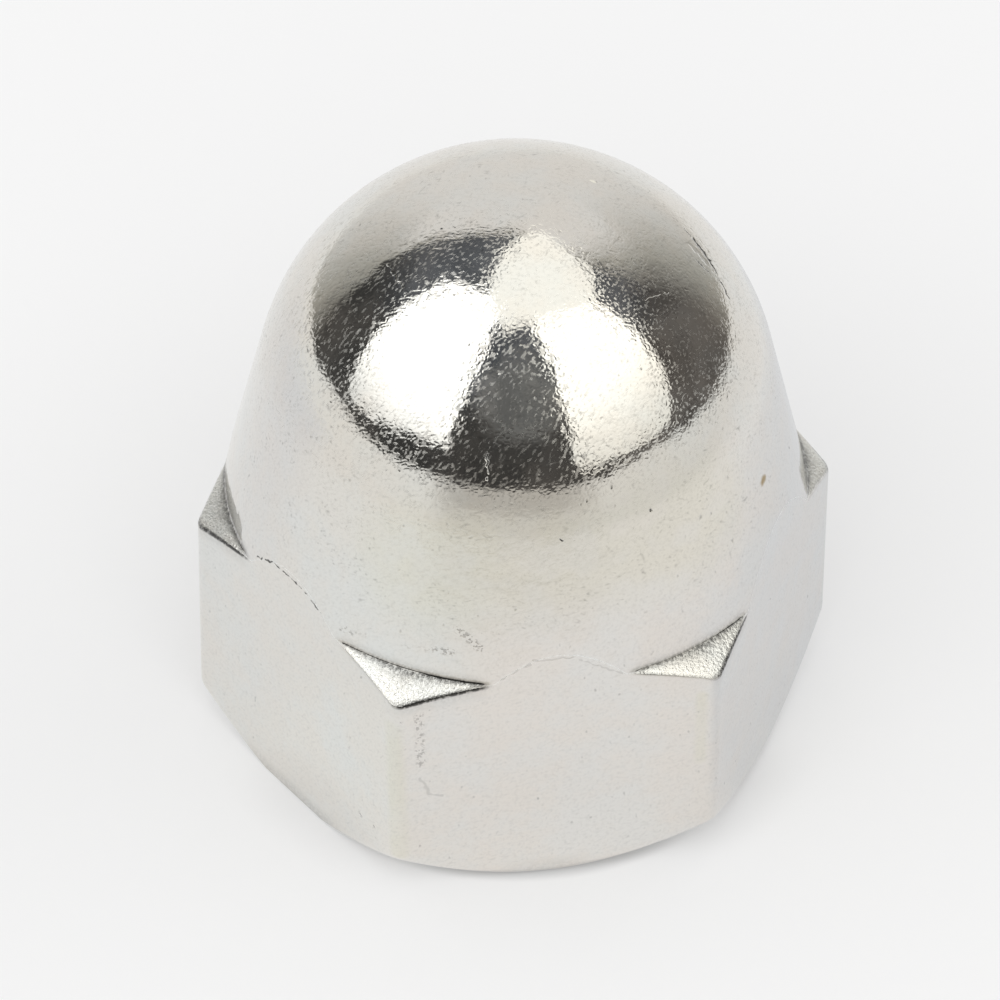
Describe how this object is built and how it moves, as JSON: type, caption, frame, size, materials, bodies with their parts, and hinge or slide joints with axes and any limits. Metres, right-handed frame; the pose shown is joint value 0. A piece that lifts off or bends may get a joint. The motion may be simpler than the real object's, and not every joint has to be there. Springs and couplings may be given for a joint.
{
  "type": "cap nut",
  "caption": "Domed hexagonal cap nut in polished stainless steel, closed at the top, with a blind metric thread and a flat bearing face.",
  "frame": {"origin": "centre of the flat bearing face, at the bottom of the nut", "axes": "+Z along the thread axis, up through the crown; two corners of the hexagon lie on +X and -X, so two flats face +Y and -Y"},
  "size_m": [0.015, 0.013, 0.015],
  "materials": {
    "polished_steel": "tumble-polished stainless steel, bright with fine pits and random hairline scratches"
  },
  "bodies": {
    "root": {"cap_nut": "polished_steel"}
  },
  "joints": []
}
